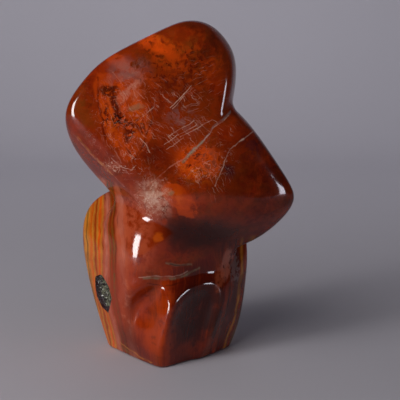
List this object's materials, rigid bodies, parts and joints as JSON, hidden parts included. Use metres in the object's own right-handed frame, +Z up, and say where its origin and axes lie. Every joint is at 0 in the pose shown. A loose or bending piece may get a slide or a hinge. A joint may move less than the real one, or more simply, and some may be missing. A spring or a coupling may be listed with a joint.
{
  "type": "polished jasper ornament stone",
  "caption": "Free-form ornament of polished red jasper with a broad flat top, a jutting shoulder and two front scoops, standing on a flat foot.",
  "frame": {"origin": "on the flat foot, below the middle of the neck", "axes": "+Z up along the stone's height, -Y towards the front with the two scoops, +X to the side where the shoulder juts out"},
  "size_m": [0.1848, 0.1128, 0.2799],
  "materials": {
    "red_jasper": "polished",
    "grey_druse": "rough"
  },
  "bodies": {
    "root": {"jasper_stone": "red_jasper", "pit_druse": "grey_druse"}
  },
  "joints": []
}
